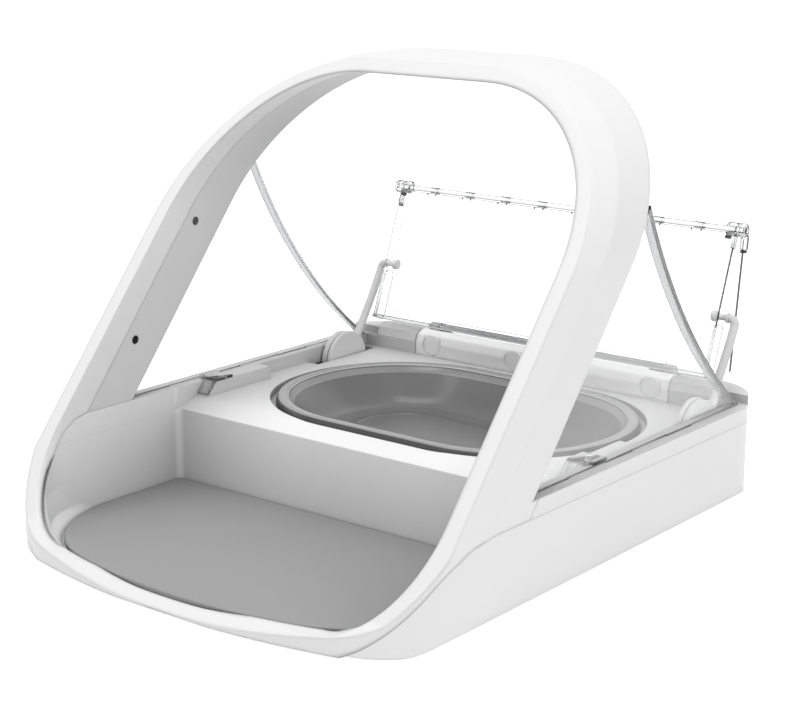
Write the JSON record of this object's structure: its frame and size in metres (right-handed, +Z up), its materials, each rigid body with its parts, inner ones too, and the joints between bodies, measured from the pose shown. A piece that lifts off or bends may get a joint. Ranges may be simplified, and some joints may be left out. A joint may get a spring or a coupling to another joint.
{
  "type": "microchip pet feeder",
  "caption": "Battery pet feeder: a hooded scoop leads to a lift-out bowl under a clear folding lid that two arms open behind it, between clear side screens.",
  "frame": {"origin": "on the floor, below the middle of the whole feeder with its lid folded open", "axes": "+X to the right in a front view, as the pet faces the feeder; +Y from the pet's side to the rear wall; +Z up"},
  "size_m": [0.23, 0.2759, 0.2],
  "materials": {
    "shell_white": "satin moulded white",
    "clear_plastic": "clear polished moulding",
    "bowl_smoke": "polished smoky translucent",
    "mat_grey": "fine matt",
    "window_black": "smooth",
    "circuit_board": "lacquered",
    "copper_coil": "enamelled winding",
    "steel": "plain",
    "gear_plastic": "natural moulded",
    "cell_case": "printed sleeve, no text",
    "foot_rubber": "matt"
  },
  "bodies": {
    "housing": {"base_shell": "shell_white", "top_deck": "shell_white", "hood_outer": "shell_white", "hood_liner": "shell_white", "drive_cover": "shell_white", "cover_plugs": "shell_white", "ir_windows": "window_black", "ir_board_left": "circuit_board", "ir_board_right": "circuit_board", "antenna_coil": "copper_coil", "side_screen_left": "clear_plastic", "side_screen_right": "clear_plastic", "rear_hinge_pins": "steel", "motor": "steel", "main_board": "circuit_board", "button_board": "circuit_board", "battery_contacts": "steel", "cell_left_front": "cell_case", "cell_left_rear": "cell_case", "cell_right_front": "cell_case", "cell_right_rear": "cell_case", "rubber_feet": "foot_rubber", "tub_screws": "steel"},
    "left_arm": {"lift_arm_left": "shell_white"},
    "right_arm": {"lift_arm_right": "shell_white"},
    "drive": {"cross_shaft": "gear_plastic"},
    "pinion": {"motor_pinion": "gear_plastic"},
    "rear_lid": {"rear_shutter": "clear_plastic", "shutter_rod": "clear_plastic"},
    "front_lid": {"front_shutter": "clear_plastic"},
    "food_bowl": {"bowl": "bowl_smoke"},
    "food_mat": {"mat": "mat_grey"},
    "left_door": {"battery_door_left": "shell_white"},
    "right_door": {"battery_door_right": "shell_white"},
    "food_button": {"button_food": "shell_white"},
    "learn_button": {"button_learn": "shell_white"},
    "training_button": {"button_training": "shell_white"}
  },
  "joints": [
    {"name": "left_arm_lift", "type": "hinge", "parent": "housing", "child": "left_arm", "pos_m": [-0.1012, 0.092, 0.04], "axis": [1, 0, 0], "range_deg": [0, 118.1]},
    {"name": "right_arm_lift", "type": "hinge", "parent": "housing", "child": "right_arm", "pos_m": [0.1012, 0.092, 0.04], "axis": [1, 0, 0], "range_deg": [0, 118.2]},
    {"name": "cross_shaft_spin", "type": "hinge", "parent": "housing", "child": "drive", "pos_m": [0, 0.1101, 0.0219], "axis": [1, 0, 0], "range_deg": [-152, 0]},
    {"name": "motor_pinion_spin", "type": "hinge", "parent": "housing", "child": "pinion", "pos_m": [-0.072, 0.09694, 0.0128], "axis": [1, 0, 0], "range_deg": [0, 354.5]},
    {"name": "rear_shutter_fold", "type": "hinge", "parent": "housing", "child": "rear_lid", "pos_m": [0, 0.126, 0.054], "axis": [1, 0, 0], "range_deg": [0, 97.4]},
    {"name": "front_shutter_fold", "type": "hinge", "parent": "rear_lid", "child": "front_lid", "pos_m": [0, 0.1345, 0.122], "axis": [1, 0, 0], "range_deg": [-167.2, 0]},
    {"name": "bowl_lift", "type": "slide", "parent": "housing", "child": "food_bowl", "axis": [0, -0.5, 0.866], "range_m": [0, 0.008]},
    {"name": "mat_lift", "type": "slide", "parent": "housing", "child": "food_mat", "axis": [0, 0, 1], "range_m": [0, 0.06]},
    {"name": "left_door_drop", "type": "slide", "parent": "housing", "child": "left_door", "axis": [0, 0, -1], "range_m": [0, 0.02]},
    {"name": "right_door_drop", "type": "slide", "parent": "housing", "child": "right_door", "axis": [0, 0, -1], "range_m": [0, 0.02]},
    {"name": "food_button_press", "type": "slide", "parent": "housing", "child": "food_button", "axis": [0, -1, 0], "range_m": [0, 0.0012], "stiffness_N_per_m": 1200, "springref_m": -0.0004},
    {"name": "learn_button_press", "type": "slide", "parent": "housing", "child": "learn_button", "axis": [0, -1, 0], "range_m": [0, 0.0012], "stiffness_N_per_m": 1200, "springref_m": -0.0004},
    {"name": "training_button_press", "type": "slide", "parent": "housing", "child": "training_button", "axis": [0, -1, 0], "range_m": [0, 0.0012], "stiffness_N_per_m": 1200, "springref_m": -0.0004}
  ],
  "couplings": [
    {"joint": "right_arm_lift", "follows": "left_arm_lift", "ratio": 1},
    {"joint": "cross_shaft_spin", "follows": "left_arm_lift", "ratio": -1.2857},
    {"joint": "motor_pinion_spin", "follows": "left_arm_lift", "ratio": 3},
    {"joint": "rear_shutter_fold", "follows": "left_arm_lift", "ratio": 0.824},
    {"joint": "front_shutter_fold", "follows": "left_arm_lift", "ratio": -1.415}
  ]
}
